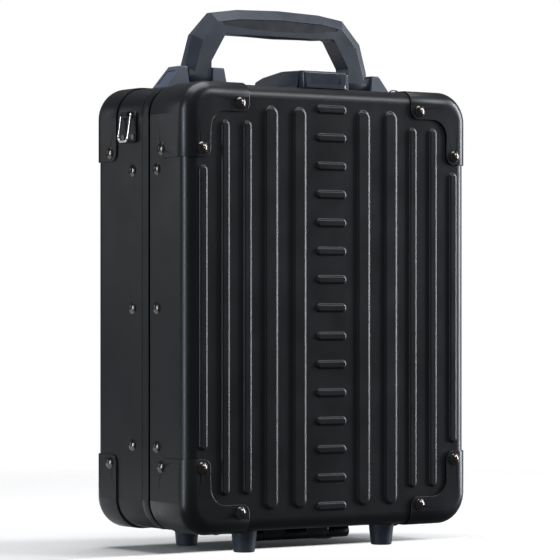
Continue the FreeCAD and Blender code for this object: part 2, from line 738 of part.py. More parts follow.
def lock_solid(inset, under, front_extra):
    side = outline(lock_side(inset, under), side_view(-50)).extrude(V(100, 0, 0))
    front = outline(lock_front(inset, under), front_view(LOCK_FRONT - front_extra))
    return side.common(front.extrude(V(0, 200, 0)))


def lock_housing():
    """Hollow housing: open below and in front, with slots for the dials and pin holes."""
    body = lock_solid(0, 0, 0)
    rim = [e for e in body.Edges if e.BoundBox.ZMin > TOP + 12 and e.BoundBox.YLength > 8
           and e.BoundBox.XLength < 6]
    body = body.makeFillet(2.0, rim)
    hollow = lock_solid(LOCK_WALL, -1, 0)
    hollow = hollow.cut(box(-60, 60, LOCK_BACK - LOCK_WALL, BACK, TOP - 2, TOP + 30))
    lift = box(-60, 60, LOCK_FRONT - 5, BAND_FRONT - 1.0, TOP - 1, TOP + 0.6)
    lever_room = box(-23.6, 23.6, LOCK_FRONT - 1, LEVER_Y + LEVER_BARREL_R + 0.4, TOP + 5, TOP + 25)
    chamfer = outline([(LOCK_FRONT - 1, TOP + 15.9, 0), (LOCK_FRONT + 1.8, TOP + 18.7, 0),
                       (LOCK_FRONT - 1, TOP + 18.7, 0)], side_view(-60))
    cuts = [hollow, lift, lever_room, chamfer.extrude(V(120, 0, 0)),
            rod(V(0, LEVER_Y, LEVER_Z), X_AXIS, LEVER_PIN_R, 2 * 25.0),
            rod(V(0, HOOK_Y, HOOK_Z), X_AXIS, HOOK_PIN_R, 2 * 27.0)]
    for x in dial_places():
        half = DIAL_WIDTH / 2 + DIAL_SLOT
        cuts.append(box(x - half, x + half, DIAL_Y - DIAL_R - CLEAR, DIAL_Y + DIAL_R + CLEAR,
                        TOP + 9, TOP + 25))
    return body.cut(cuts)


def dial_places():
    return [(i - (DIAL_COUNT - 1) / 2) * DIAL_PITCH for i in range(DIAL_COUNT)]


def dial(x):
    """Finger-turned wheel with ten flats and shallow notches between them."""
    wheel = Part.makeCylinder(DIAL_R, DIAL_WIDTH, V(x - DIAL_WIDTH / 2, DIAL_Y, DIAL_Z), X_AXIS)
    cuts = [rod(V(x, DIAL_Y, DIAL_Z), X_AXIS, AXLE_R + FIT, DIAL_WIDTH + 2)]
    for i in range(10):
        turn = math.radians(36 * i)
        notch = V(x, DIAL_Y + math.cos(turn) * NOTCH_REACH, DIAL_Z + math.sin(turn) * NOTCH_REACH)
        cuts.append(rod(notch, X_AXIS, 1.1, DIAL_WIDTH + 2))
    return wheel.cut(cuts)


UPRIGHT_X = DIAL_PITCH * (DIAL_COUNT - 1) / 2 + DIAL_WIDTH / 2 + 1.0
UPRIGHT_T = 2.0
LOCK_SCREWS = [(sx * 20.5, y) for sx in (-1, 1) for y in (REAR_EDGE + 3.7, REAR_EDGE + 9.7)]


def lock_base():
    """Steel base plate with two uprights that carry the dial axle."""
    y0 = BAND_FRONT + 1.5
    y1 = LOCK_BACK - LOCK_WALL - 0.3
    solids = [box(-24, 24, y0, y1, TOP, TOP + LOCK_BASE_T)]
    for s in (-1, 1):
        x = s * (UPRIGHT_X + UPRIGHT_T / 2)
        solids.append(box(x - 1, x + 1, DIAL_Y - 4, DIAL_Y + 4, TOP + 1, DIAL_Z + 2.6))
    cuts = [rod(V(0, DIAL_Y, DIAL_Z), X_AXIS, AXLE_R, 2 * UPRIGHT_X + 10)]
    cuts += [rod(V(x, y, TOP), Z_AXIS, 1.5, 10) for x, y in LOCK_SCREWS]
    return fused(solids).cut(cuts)


def lock_screws():
    z = TOP - SHEET - FLANGE_T
    return group([screw(V(x, y, z), V(0, 0, -1), SHEET + FLANGE_T + 1.5, 1.4, 2.8, 1.6)
                  for x, y in LOCK_SCREWS])


def lock_wall_holes():
    return [rod(V(x, y, TOP), Z_AXIS, 1.5, 10) for x, y in LOCK_SCREWS]


def dial_axle():
    return rod(V(0, DIAL_Y, DIAL_Z), X_AXIS, AXLE_R, 2 * (UPRIGHT_X + UPRIGHT_T))


def lock_lever():
    """Front cap that lifts: plate over the lid's front edge, web and barrel on the lever pin."""
    y0 = FRONT + LEVER_FACE
    y1 = y0 + LEVER_PLATE
    plan = [(-LEVER_HALF, y1, 0), (-LEVER_HALF, y0, 5), (LEVER_HALF, y0, 5), (LEVER_HALF, y1, 0)]
    plate = outline(plan, plan_view(TOP - 1)).extrude(V(0, 0, 19))
    side = [(y0, TOP - 0.35, 1.0), (y0 + 3.5, TOP + 0.1, 0), (y0 + 6, TOP + 0.35, 0), (y1, TOP + 0.35, 0),
            (y1, TOP + 17.3, 0), (y0 + 1.2, TOP + 17.3, 2.5)]
    plate = plate.common(outline(side, side_view(-50)).extrude(V(100, 0, 0)))
    panel = outline([(-18.5, TOP + 4.2, 1.5), (18.5, TOP + 4.2, 1.5), (18.5, TOP + 13.6, 1.5),
                     (-18.5, TOP + 13.6, 1.5)], front_view(y0 - 1)).extrude(V(0, 2.0, 0))
    web = box(-23, 23, y1 - 1, LEVER_Y, LEVER_Z - 1.2, TOP + 17.3)
    barrel = rod(V(0, LEVER_Y, LEVER_Z), X_AXIS, LEVER_BARREL_R, 46)
    bore = rod(V(0, LEVER_Y, LEVER_Z), X_AXIS, LEVER_PIN_R + FIT, 60)
    return fused([plate.cut(panel), web, barrel]).cut(bore)


def lever_pin():
    return rod(V(0, LEVER_Y, LEVER_Z), X_AXIS, LEVER_PIN_R, 49.6)


def lock_hook():
    """Rocker over the striker: bored boss, arm, downward claw and a short tail."""
    arm = [(HOOK_TIP_Y, TOP + 1.8, 0), (HOOK_TIP_Y + 3.5, TOP + 1.8, 0.5), (HOOK_TIP_Y + 4.5, HOOK_Z - 2, 1),
           (HOOK_Y + 8, HOOK_Z - 2, 1), (HOOK_Y + 8, HOOK_Z + 2, 1), (HOOK_TIP_Y, HOOK_Z + 2, 1.5)]
    body = outline(arm, side_view(-HOOK_HALF)).extrude(V(2 * HOOK_HALF, 0, 0))
    boss = rod(V(0, HOOK_Y, HOOK_Z), X_AXIS, 3.6, 2 * HOOK_HALF)
    return fused([body, boss]).cut(rod(V(0, HOOK_Y, HOOK_Z), X_AXIS, HOOK_PIN_R + FIT, 30))


def hook_pin():
    return rod(V(0, HOOK_Y, HOOK_Z), X_AXIS, HOOK_PIN_R, 2 * 26.5)


STRIKER_T = 1.2
STRIKER_TAIL_R = 2.0
STRIKER_Y = HOOK_Y - 11.0
STRIKER_SCREWS = [(sx * 11.0, STRIKER_Y + dy) for sx in (-1, 1) for dy in (-6.0, 6.0)]


def striker():
    y0 = STRIKER_Y - 10
    y1 = STRIKER_Y + 10
    plate = outline([(-14, y0, 2), (14, y0, 2), (14, y1, 2), (-14, y1, 2)], plan_view(TOP))
    plate = plate.extrude(V(0, 0, STRIKER_T))
    slot = box(-8.5, 8.5, HOOK_TIP_Y - 1.5, HOOK_TIP_Y + 5.5, TOP - 1, TOP + 3)
    return plate.cut([slot] + [rod(V(x, y, TOP), Z_AXIS, 1.2, 6) for x, y in STRIKER_SCREWS])


def striker_rivets():
    solids = []
    for x, y in STRIKER_SCREWS:
        wall = wall_inside(y, STRIKER_TAIL_R)
        shank = Part.makeCylinder(1.1, STRIKER_T + wall, V(x, y, TOP - wall))
        tail = Part.makeCylinder(STRIKER_TAIL_R, 0.6, V(x, y, TOP - wall - 0.6))
        solids.append(fused([shank, tail]))
    return group(solids)


def striker_wall_holes():
    return [rod(V(x, y, TOP), Z_AXIS, 1.2, 6) for x, y in STRIKER_SCREWS]


# ---- strap rings, drawn on the left side ----
RING_X = -(HALF_W + RING_PLATE[2] + 2.4)
RING_Z = TOP - RING_DOWN
RING_RIVETS = [(RING_BACK + dy, RING_Z - 22.0) for dy in (-9.0, 9.0)]
RING_TAIL_R = 2.6


def ring_plate():
    """Riveted plate whose upper edge curls round the ring's top bar."""
    width, height, thick = RING_PLATE
    y0 = RING_BACK - width / 2
    z0 = RING_Z + 3.4 - height
    corners = [(y0, z0, 4), (y0 + width, z0, 4), (y0 + width, z0 + height, 4), (y0, z0 + height, 4)]
    plate = outline(corners, side_view(-HALF_W - thick)).extrude(V(thick, 0, 0))
    barrel = rod(V(RING_X, RING_BACK, RING_Z), Y_AXIS, 3.2, 12.0)
    barrel = barrel.common(box(RING_X - 9, -HALF_W, -200, 200, RING_Z - 9, RING_Z + 9))
    bore = rod(V(RING_X, RING_BACK, RING_Z), Y_AXIS, RING_WIRE_R + FIT, 20.0)
    holes = [rod(V(-HALF_W, y, z), X_AXIS, 1.6, 12) for y, z in RING_RIVETS]
    return fused([plate, barrel]).cut([bore] + holes)


def ring_plate_rivets(mirror):
    solids = []
    for y, z in RING_RIVETS:
        head = Part.makeCylinder(2.8, 0.9, V(-HALF_W - RING_PLATE[2], y, z), V(-1, 0, 0))
        wall = wall_inside(y, RING_TAIL_R)
        shank = Part.makeCylinder(1.5, wall + RING_PLATE[2] + 0.7, V(-HALF_W - RING_PLATE[2], y, z), X_AXIS)
        tail = Part.makeCylinder(RING_TAIL_R, 0.7, V(-HALF_W + wall, y, z), X_AXIS)
        solids.append(fused([head, shank, tail]))
    return [mirrored(s, X_AXIS) for s in solids] if mirror else solids


def ring_wall_holes():
    holes = [rod(V(-HALF_W, y, z), X_AXIS, 1.6, 12) for y, z in RING_RIVETS]
    return holes + [mirrored(h, X_AXIS) for h in holes]


def strap_ring():
    """Closed loop of round wire hanging from its top bar, leaning out on the plate."""
    half = RING_WIDTH / 2
    low = -RING_LENGTH
    corners = [(-half, 0, 2.2), (-half, low, 5.0), (half, low, 5.0), (half, 0, 2.2)]
    wire = outline(corners, side_view(0)).OuterWire
    section = Part.Wire(Part.makeCircle(RING_WIRE_R, V(0, 0, low), Y_AXIS))
    start = V(0, 0, low)
    edges = split_at(wire, start)
    loop = edges.makePipeShell([section], True, True, 2)
    loop.rotate(ORIGIN, Y_AXIS, RING_LEAN)
    loop.translate(V(RING_X, RING_BACK, RING_Z))
    return loop


def split_at(wire, start):
    """The same closed loop, begun in the middle of its lowest run."""
    edges = list(wire.OrderedEdges)
    for i, edge in enumerate(edges):
        a, b = edge.Vertexes[0].Point, edge.Vertexes[-1].Point
        if abs(a.z - start.z) < 1e-6 and abs(b.z - start.z) < 1e-6:
            first = edge.Vertexes[0].Point if edge.Orientation == "Forward" else b
            last = b if edge.Orientation == "Forward" else a
            rest = edges[i + 1:] + edges[:i]
            nearest = rest[0].distToShape(Part.Vertex(last))[0]
            if nearest > 1e-6:
                first, last = last, first
            head = Part.LineSegment(start, last).toShape()
            tail = Part.LineSegment(first, start).toShape()
            return Part.Wire([head] + rest + [tail])
    raise ValueError("the loop has no straight run at its lowest point")


# ---- linings and inner fittings ----
def tray(y_panel, y_open):
    """Lining tray: side wall and panel of one thickness."""
    away = 1 if y_open > y_panel else -1
    outer = slab(LINING_IN, min(y_panel, y_open), max(y_panel, y_open))
    inner = slab(LINING_IN + LINING_T, min(y_panel + away * LINING_T, y_open + away),
                 max(y_panel + away * LINING_T, y_open + away))
    return outer.cut(inner)


LID_LINING_PANEL = FRONT + SHEET + PANEL_LINING_GAP + 4.0
REAR_LINING_PANEL = BACK - SHEET - PANEL_LINING_GAP - 4.0
CAVITY_IN = LINING_IN + LINING_T


def organiser():
    """Document organiser on the lid's lining: back sheet and three stepped pockets."""
    w = HALF_W - CAVITY_IN - 12
    h = HALF_H - CAVITY_IN - 12
    y = LID_LINING_PANEL + LINING_T
    solids = []
    for i, top in enumerate((h, h * 0.45, 0.0, -h * 0.45)):
        corners = [(-w, MIDDLE - h, 8), (w, MIDDLE - h, 8), (w, MIDDLE + top, 8), (-w, MIDDLE + top, 8)]
        solids.append(outline(corners, front_view(y + i * ORGANISER_T)).extrude(V(0, ORGANISER_T, 0)))
    return fused(solids)


def divider():
    """Padded divider that makes the laptop sleeve in front of the rear lining."""
    y = BACK - DIVIDER_FROM_BACK
    panel = slab(CAVITY_IN, y, y + DIVIDER_T)
    return panel.common(box(-400, 400, y - 1, y + DIVIDER_T + 1, 0, DIVIDER_TOP))


# ---- the two halves ----
def lid():
    holes = [drill(p) for p in LID_GUARD_RIVETS + LID_FRAME_RIVETS + leaf_rivet_places(LID_LEAF_Y)]
    holes += foot_holes(LID_FOOT_Y) + striker_wall_holes()
    channel_y = LID_EDGE + 0.5 - CHANNEL_DEPTH
    frame = fused([band(FLANGE_IN, FLANGE_T, LID_EDGE - LID_FLANGE_LENGTH, LID_EDGE + 0.5),
                   band(FLANGE_IN, CHANNEL_IN + CHANNEL_T - FLANGE_IN, channel_y, channel_y + CHANNEL_T),
                   band(CHANNEL_IN, CHANNEL_T, channel_y, LID_EDGE + 0.5)])
    nodes = {"lid_shell": shell(LID_DEPTH, holes),
             "lid_frame": frame.cut(holes),
             "lid_seal": band(FLANGE_IN + FLANGE_T + 0.3, CHANNEL_IN - FLANGE_IN - FLANGE_T - 0.6,
                              channel_y + CHANNEL_T, channel_y + CHANNEL_T + 2.5),
             "lid_guard_rivets": group([domed_rivet(p) for p in LID_GUARD_RIVETS]),
             "lid_frame_rivets": group([domed_rivet(p) for p in LID_FRAME_RIVETS]),
             "lid_foot_left": foot(-FOOT_X, LID_FOOT_Y),
             "lid_foot_right": foot(FOOT_X, LID_FOOT_Y),
             "lid_foot_screws": group([foot_screw(s * FOOT_X, LID_FOOT_Y) for s in (-1, 1)]),
             "hinge_leaf_lid": hinge_leaf(-1, 1, PIN_R + FIT),
             "hinge_rivets_lid": group([leaf_rivet(p) for p in leaf_rivet_places(LID_LEAF_Y)]),
             "lock_striker": striker(),
             "striker_rivets": striker_rivets(),
             "lid_lining": tray(LID_LINING_PANEL, channel_y - 0.3),
             "document_organiser": organiser()}
    nodes.update(guards("lid", FRONT_WING, False, LID_GUARD_RIVETS))
    return nodes


def rear_half():
    places = REAR_GUARD_RIVETS + REAR_FRAME_RIVETS + leaf_rivet_places(REAR_LEAF_Y)
    holes = [drill(p) for p in places] + foot_holes(REAR_FOOT_Y)
    holes += lug_wall_holes() + lock_wall_holes() + ring_wall_holes()
    back_shell = mirrored(shell(REAR_DEPTH, []), Y_AXIS)
    tongue_y = LID_EDGE + 0.5 - CHANNEL_DEPTH + CHANNEL_T + 2.5 + 0.3
    frame = fused([band(0, BAND_T, BAND_FRONT, BAND_BACK),
                   band(0, TONGUE_IN + TONGUE_T, BAND_BACK - BAND_T, BAND_BACK),
                   band(TONGUE_IN, TONGUE_T, tongue_y, BAND_BACK),
                   band(FLANGE_IN, FLANGE_T, BAND_BACK - 0.5, REAR_EDGE + REAR_FLANGE_LENGTH)])
    nodes = {"rear_shell": back_shell.cut(holes),
             "rear_frame": frame.cut(holes),
             "rear_guard_rivets": group([domed_rivet(p) for p in REAR_GUARD_RIVETS]),
             "rear_frame_rivets": group([domed_rivet(p) for p in REAR_FRAME_RIVETS]),
             "rear_foot_left": foot(-FOOT_X, REAR_FOOT_Y),
             "rear_foot_right": foot(FOOT_X, REAR_FOOT_Y),
             "rear_foot_screws": group([foot_screw(s * FOOT_X, REAR_FOOT_Y) for s in (-1, 1)]),
             "hinge_leaf_rear": hinge_leaf(1, 0, PIN_R),
             "hinge_pin": rod(V(0, HINGE_Y, HINGE_Z), X_AXIS, PIN_R, 2 * HINGE_HALF),
             "hinge_rivets_rear": group([leaf_rivet(p) for p in leaf_rivet_places(REAR_LEAF_Y)]),
             "handle_lug_right": handle_lug(),
             "handle_lug_left": mirrored(handle_lug(), X_AXIS),
             "handle_pivot_pins": pivot_pins(),
             "handle_backing_plates": backing_plates(),
             "handle_lug_screws": lug_screws(),
             "rear_lining": tray(REAR_LINING_PANEL, REAR_EDGE),
             "laptop_divider": divider()}
    nodes.update(guards("rear", REAR_WING, True, REAR_GUARD_RIVETS))
    return nodes


def lock():
    nodes = {"lock_housing": lock_housing(), "lock_base": lock_base(), "lock_screws": lock_screws(),
             "lock_lever": lock_lever(), "lever_pin": lever_pin(), "lock_hook": lock_hook(),
             "hook_pin": hook_pin(), "dial_axle": dial_axle()}
    for name, x in zip(("left", "middle", "right"), dial_places()):
        nodes["dial_" + name] = dial(x)
    return nodes


def strap_rings():
    plate = ring_plate()
    loop = strap_ring()
    return {"ring_plate_left": plate, "ring_plate_right": mirrored(plate, X_AXIS),
            "ring_plate_rivets": group(ring_plate_rivets(False) + ring_plate_rivets(True)),
            "strap_ring_left": loop, "strap_ring_right": mirrored(loop, X_AXIS)}


os.makedirs("parts", exist_ok=True)
case = {}
for section in (lid, rear_half, handle_parts, lock, strap_rings):
    case.update(section())
for node, shape in case.items():
    shape.exportStep("parts/" + node + ".step")
    print(node, "solids", len(shape.Solids), "valid", shape.isValid(), "volume", round(shape.Volume))
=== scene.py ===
import math

import bmesh
import bpy
import numpy as np
from bpy.props import FloatProperty, FloatVectorProperty, IntProperty, PointerProperty
from bpy.types import Operator, Panel, PropertyGroup
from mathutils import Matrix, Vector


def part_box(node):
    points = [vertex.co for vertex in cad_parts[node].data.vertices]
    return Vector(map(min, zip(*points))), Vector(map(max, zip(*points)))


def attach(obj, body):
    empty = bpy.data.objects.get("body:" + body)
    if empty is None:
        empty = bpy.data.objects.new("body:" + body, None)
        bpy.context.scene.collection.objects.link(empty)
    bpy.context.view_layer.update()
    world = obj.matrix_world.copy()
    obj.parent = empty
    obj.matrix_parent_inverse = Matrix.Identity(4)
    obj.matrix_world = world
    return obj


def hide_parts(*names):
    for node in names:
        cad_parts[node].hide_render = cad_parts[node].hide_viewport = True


bl_info = {
    "name": "Upright attache case",
    "version": (1, 0, 0),
    "blender": (4, 5, 0),
    "location": "3D View > Sidebar > Attache case",
    "description": "Dresses an upright ribbed attache case: metal, handle, lock and linings",
    "category": "Object",
}

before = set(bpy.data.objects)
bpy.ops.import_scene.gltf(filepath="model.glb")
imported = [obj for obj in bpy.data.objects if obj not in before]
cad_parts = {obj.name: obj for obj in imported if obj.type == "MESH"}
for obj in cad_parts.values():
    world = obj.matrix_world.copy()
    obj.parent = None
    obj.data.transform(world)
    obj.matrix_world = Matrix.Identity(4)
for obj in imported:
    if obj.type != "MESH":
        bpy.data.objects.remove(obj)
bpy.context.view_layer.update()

MM = 0.001

# Linings: outside corner radius, thickness, and the inner bend where the wall meets the panel
LINING_RADIUS = 23.5 * MM
LINING_THICKNESS = 1.8 * MM
LINING_BEND = 6 * MM

# Organiser: corner radius of its board, the pockets' tops from its middle, 1 at its top edge, and
# how far the pockets' feet stand up, their sides stand in, and each lies before the last
BOARD_RADIUS = 8 * MM
POCKETS = (("upper", 0.45), ("middle", 0.0), ("lower", -0.45))
POCKET_FOOT = 2 * MM
POCKET_MARGIN = 3 * MM
POCKET_STEP = 0.9 * MM

# Divider: corner radii from the bottom right round to the bottom left
DIVIDER_RADII = (21.7 * MM, 8 * MM, 8 * MM, 21.7 * MM)

# Seal: outside corner radius, width of the bead, points round it
SEAL_RADIUS = 27 * MM
SEAL_WIDTH = 5.2 * MM
SEAL_POINTS = 336

# Floor, in metres: half its width, its place under the feet, and the depths between which it
# fades out under the closed lid, so that the opened lid shows
FLOOR_REACH = 1.6
FLOOR_DROP = 0.2 * MM
FADE_START = -0.035
FADE_END = -0.020

# Camera: the case's front it stands back from, lens and sensor in millimetres, picture shift up,
# step to the left in metres, and how far it sees
CASE_FRONT = -0.084
LENS = 192.86
SENSOR = 36
SHIFT_UP = 0.05
SIDE_STEP = 0.0512
VIEW_DEPTH = 50
CASE_MIDDLE = (0, 0, 0.26)

# Lights: name, place, point faced, width and height, watts, tint
LIGHTS = (
    ("top", (0.0, 0.1, 2.6), (0, 0, 0.2), (2.0, 2.0), 66, (1, 1, 1)),
    ("key", (1.5, -1.9, 2.0), CASE_MIDDLE, (0.9, 0.9), 27, (1, 1, 1)),
    ("strip", (-2.4, -0.25, 0.5), CASE_MIDDLE, (0.22, 1.8), 30, (0.84, 0.92, 1.0)),
    ("right", (2.3, -0.65, 0.75), CASE_MIDDLE, (0.45, 1.9), 72, (0.92, 0.95, 1.0)),
    ("side", (-1.9, 2.2, 0.9), CASE_MIDDLE, (0.9, 1.4), 4.5, (1, 1, 1)),
)


# ---- sizes read from the frame ----
def corner_low(node):
    return np.array(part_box(node)[0])


def corner_high(node):
    return np.array(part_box(node)[1])


# ---- settings a user would change ----
class CaseFinishes(PropertyGroup):
    """Colours of the finishes, and the width of their broken edges"""
    anodised: FloatVectorProperty(
        name="Anodised black", description="Colour of the shells, frames and guards",
        subtype="COLOR", default=(0.020, 0.021, 0.024), min=0, max=1)
    slate: FloatVectorProperty(
        name="Slate plastic", description="Colour of the handle, lugs, lock and feet",
        subtype="COLOR", default=(0.054, 0.066, 0.092), min=0, max=1)
    nickel: FloatVectorProperty(
        name="Dark nickel", description="Colour of the domed rivets", subtype="COLOR",
        default=(0.125, 0.115, 0.105), min=0, max=1)
    chrome: FloatVectorProperty(
        name="Chrome", description="Colour of the strap rings", subtype="COLOR",
        default=(0.78, 0.79, 0.80), min=0, max=1)
    cloth: FloatVectorProperty(
        name="Lining cloth", description="Colour of the lining cloth", subtype="COLOR",
        default=(0.055, 0.058, 0.064), min=0, max=1)
    bevel: FloatProperty(
        name="Edge break", description="Width of the broken edges", unit="LENGTH",
        default=0.35 * MM, min=0, max=1.5 * MM)


class CaseSoftParts(PropertyGroup):
    """Sizes of the linings, pockets and divider"""
    channel_pitch: FloatProperty(
        name="Channel pitch", description="Distance between the sewn channels of the linings",
        unit="LENGTH", default=44 * MM, min=10 * MM, max=200 * MM)
    channel_swell: FloatProperty(
        name="Channel swell", description="How far the filling swells between two channels",
        unit="LENGTH", default=1.6 * MM, min=0, max=6 * MM)
    pocket_gape: FloatProperty(
        name="Pocket gape", description="How far the front pocket stands open at its middle",
        unit="LENGTH", default=7 * MM, min=0, max=15 * MM)
    cloth_thickness: FloatProperty(
        name="Cloth thickness", description="Thickness of the pocket cloth", unit="LENGTH",
        default=0.9 * MM, min=0.2 * MM, max=3 * MM)
    outline_points: IntProperty(
        name="Outline points", description="Points round the outline of a soft piece",
        default=336, min=48, max=800)


class CaseStage(PropertyGroup):
    """Place of the camera, and the light of the room"""
    distance: FloatProperty(
        name="Camera distance", description="From the camera to the middle of the case's front",
        unit="LENGTH", default=3.0, min=0.5, max=20)
    turn: FloatProperty(
        name="Camera turn", description="Turn of the camera toward the case's left side",
        subtype="ANGLE", default=math.radians(35), min=-math.pi, max=math.pi)
    eye: FloatProperty(
        name="Camera height", description="Height of the camera over the floor", unit="LENGTH",
        default=0.242, min=0, max=3)
    world_light: FloatProperty(
        name="Room light", description="Strength of the even light from all round",
        default=0.10, min=0, max=5)


# ---- meshes from arrays ----
def surface(name, points, uv=None, round_u=True, poles=(False, False)):
    """A mesh over a grid of points, point (row, column) joined to the next row and column.

    With round_u the last column joins the first. A first or last row that is a pole shrinks to one
    vertex, and its quads become triangles. uv gives each point its place on the cloth.
    """
    rows, cols, _ = points.shape
    index = np.arange(rows * cols).reshape(rows, cols)
    if poles[0]:
        index[0] = index[0, 0]
    if poles[1]:
        index[-1] = index[-1, 0]
    nxt = np.roll(index, -1, axis=1) if round_u else index[:, 1:]
    cur = index if round_u else index[:, :-1]
    quads = np.stack([cur[:-1], nxt[:-1], nxt[1:], cur[1:]], axis=-1).reshape(-1, 4)
    flat = points.reshape(-1, 3)
    mesh = bpy.data.meshes.new(name)
    tri_low = quads[:, 0] == quads[:, 1]
    tri_high = quads[:, 2] == quads[:, 3]
    faces = quads[~(tri_low | tri_high)].tolist()
    faces += quads[tri_low][:, [0, 2, 3]].tolist() + quads[tri_high][:, [0, 1, 2]].tolist()
    mesh.from_pydata(flat.tolist(), [], faces)
    if uv is not None:
        layer = mesh.uv_layers.new(name="cloth")
        loops = np.empty(len(mesh.loops), np.int32)
        mesh.loops.foreach_get("vertex_index", loops)
        layer.data.foreach_set("uv", uv.reshape(-1, 2)[loops].astype(np.float32).ravel())
    tidy = bmesh.new()
    tidy.from_mesh(mesh)
    lone = [v for v in tidy.verts if not v.link_faces]
    bmesh.ops.delete(tidy, geom=lone, context="VERTS")
    bmesh.ops.recalc_face_normals(tidy, faces=tidy.faces)
    tidy.to_mesh(mesh)
    tidy.free()
    mesh.polygons.foreach_set("use_smooth", np.ones(len(mesh.polygons), bool))
    obj = bpy.data.objects.new(name, mesh)
    bpy.context.scene.collection.objects.link(obj)
    return obj


def outline(half_w, low, high, radii, count):
    """Points round a rectangle with rounded corners, their outward normals and distance along.

    A corner point is the corner's centre plus its radius times the cosine and sine of its angle.
    Straight runs join the corners, and the whole line is divided into equal lengths. radii go
    bottom right, top right, top left, bottom left, and the points start at the bottom right.
    """
    arc = np.linspace(0, math.pi / 2, 40)
    dense = []
    turns = []
    starts = (-math.pi / 2, 0.0, math.pi / 2, math.pi)
    signs = ((1, 0), (1, 1), (-1, 1), (-1, 0))
    for start, (sx, top), r in zip(starts, signs, radii):
        angle = start + arc
        cx = sx * (half_w - r)
        cz = high - r if top else low + r
        dense.append(np.stack([cx + r * np.cos(angle), cz + r * np.sin(angle)], axis=1))
        turns.append(angle)
    dense = np.concatenate(dense + [dense[0][:1]])
    turns = np.concatenate(turns + [[starts[0] + 2 * math.pi]])
    length = np.concatenate([[0], np.cumsum(np.linalg.norm(np.diff(dense, axis=0), axis=1))])
    even = np.linspace(0, length[-1], count, endpoint=False)
    x = np.interp(even, length, dense[:, 0])
    z = np.interp(even, length, dense[:, 1])
    turn = np.interp(even, length, turns)
    normals = np.stack([np.cos(turn), np.sin(turn)], axis=1)
    return np.stack([x, z], axis=1), normals, even


def carried(path, normals, rows):
    """A profile carried round a path: each row is (inset along the normal, scale to the middle, y).

    Point = middle + scale * (path - inset * normal - middle), at depth y.
    """
    rows = np.asarray(rows, float)
    middle = (path.max(0) + path.min(0)) / 2
    ring = path[None] - rows[:, 0, None, None] * normals[None]
    ring = middle + rows[:, 1, None, None] * (ring - middle)
    y = np.broadcast_to(rows[:, 2, None], ring.shape[:2])
    return np.stack([ring[..., 0], y, ring[..., 1]], axis=-1)


def cloth_uv(points, even):
    """Cloth places in metres: the distance along the outline, and down the profile.

    The second is the running sum of the mean distance between neighbouring rows.
    """
    step = np.linalg.norm(np.diff(points, axis=0), axis=-1).mean(axis=1)
    down = np.concatenate([[0], np.cumsum(step)])
    return np.stack(np.broadcast_arrays(even[None], down[:, None]), axis=-1)


# ---- materials ----
class Finish:
    """A node material built up from a principled shader, in steps."""

    def __init__(self, name, rough, metallic=0.0, **sockets):
        self.mat = bpy.data.materials.new(name)
        self.mat.use_nodes = True
        self.nodes = self.mat.node_tree.nodes
        self.links = self.mat.node_tree.links
        self.shader = self.nodes["Principled BSDF"]
        self.shader.inputs["Roughness"].default_value = rough
        self.shader.inputs["Metallic"].default_value = metallic
        for socket, value in sockets.items():
            self.shader.inputs[socket.replace("_", " ")].default_value = value
        self.place = self.nodes.new("ShaderNodeTexCoord")
        self.height = None

    def node(self, kind, **values):
        """Adds a shader node of a kind, with its settings."""
        new = self.nodes.new("ShaderNode" + kind)
        for key, value in values.items():
            setattr(new, key, value)
        return new

    def coordinates(self, source, stretch=None):
        """The piece's own coordinates, or its cloth's, scaled along each axis if asked."""
        out = self.place.outputs[source]
        if stretch is None:
            return out
        mapping = self.node("Mapping")
        mapping.inputs["Scale"].default_value = stretch
        self.links.new(out, mapping.inputs["Vector"])
        return mapping.outputs["Vector"]

    def noise(self, scale, detail=2.0, stretch=None, roughness=0.5):
        tex = self.node("TexNoise")
        tex.inputs["Scale"].default_value = scale
        tex.inputs["Detail"].default_value = detail
        tex.inputs["Roughness"].default_value = roughness
        self.links.new(self.coordinates("Object", stretch), tex.inputs["Vector"])
        return tex.outputs["Fac"]

    def cells(self, scale):
        tex = self.node("TexVoronoi")
        tex.inputs["Scale"].default_value = scale
        self.links.new(self.coordinates("Object"), tex.inputs["Vector"])
        return tex.outputs["Distance"]

    def wave(self, scale, direction):
        """Bands across the cloth, from its own coordinates."""
        tex = self.node("TexWave", bands_direction=direction)
        tex.inputs["Scale"].default_value = scale
        self.links.new(self.coordinates("UV"), tex.inputs["Vector"])
        return tex.outputs["Fac"]

    def spread(self, fac, low, high, start=0.3, end=0.7):
        """Maps a 0 to 1 pattern to a span of values."""
        span = self.node("MapRange")
        span.inputs["From Min"].default_value = start
        span.inputs["From Max"].default_value = end
        span.inputs["To Min"].default_value = low
        span.inputs["To Max"].default_value = high
        self.links.new(fac, span.inputs["Value"])
        return span.outputs["Result"]

    def blend(self, fac, first, second):
        """Runs between two colours as a pattern goes from 0.3 to 0.7."""
        ramp = self.node("ValToRGB")
        ramp.color_ramp.elements[0].position = 0.3
        ramp.color_ramp.elements[1].position = 0.7
        ramp.color_ramp.elements[0].color = (*first, 1)
        ramp.color_ramp.elements[1].color = (*second, 1)
        self.links.new(fac, ramp.inputs["Fac"])
        return ramp.outputs["Color"]

    def both(self, first, second, operation="MULTIPLY"):
        """Two patterns joined into one, multiplied unless told otherwise."""
        math_node = self.node("Math", operation=operation)
        self.links.new(first, math_node.inputs[0])
        self.links.new(second, math_node.inputs[1])
        return math_node.outputs["Value"]

    def to(self, socket, value):
        """Leads a pattern to a socket of the shader."""
        self.links.new(value, self.shader.inputs[socket])
        return self

    def bump(self, height, distance, strength=1.0):
        """Adds a layer of relief over the ones before it."""
        bump = self.node("Bump")
        bump.inputs["Strength"].default_value = strength
        bump.inputs["Distance"].default_value = distance
        self.links.new(height, bump.inputs["Height"])
        if self.height is not None:
            self.links.new(self.height, bump.inputs["Normal"])
        self.height = bump.outputs["Normal"]
        self.links.new(self.height, self.shader.inputs["Normal"])
        return self


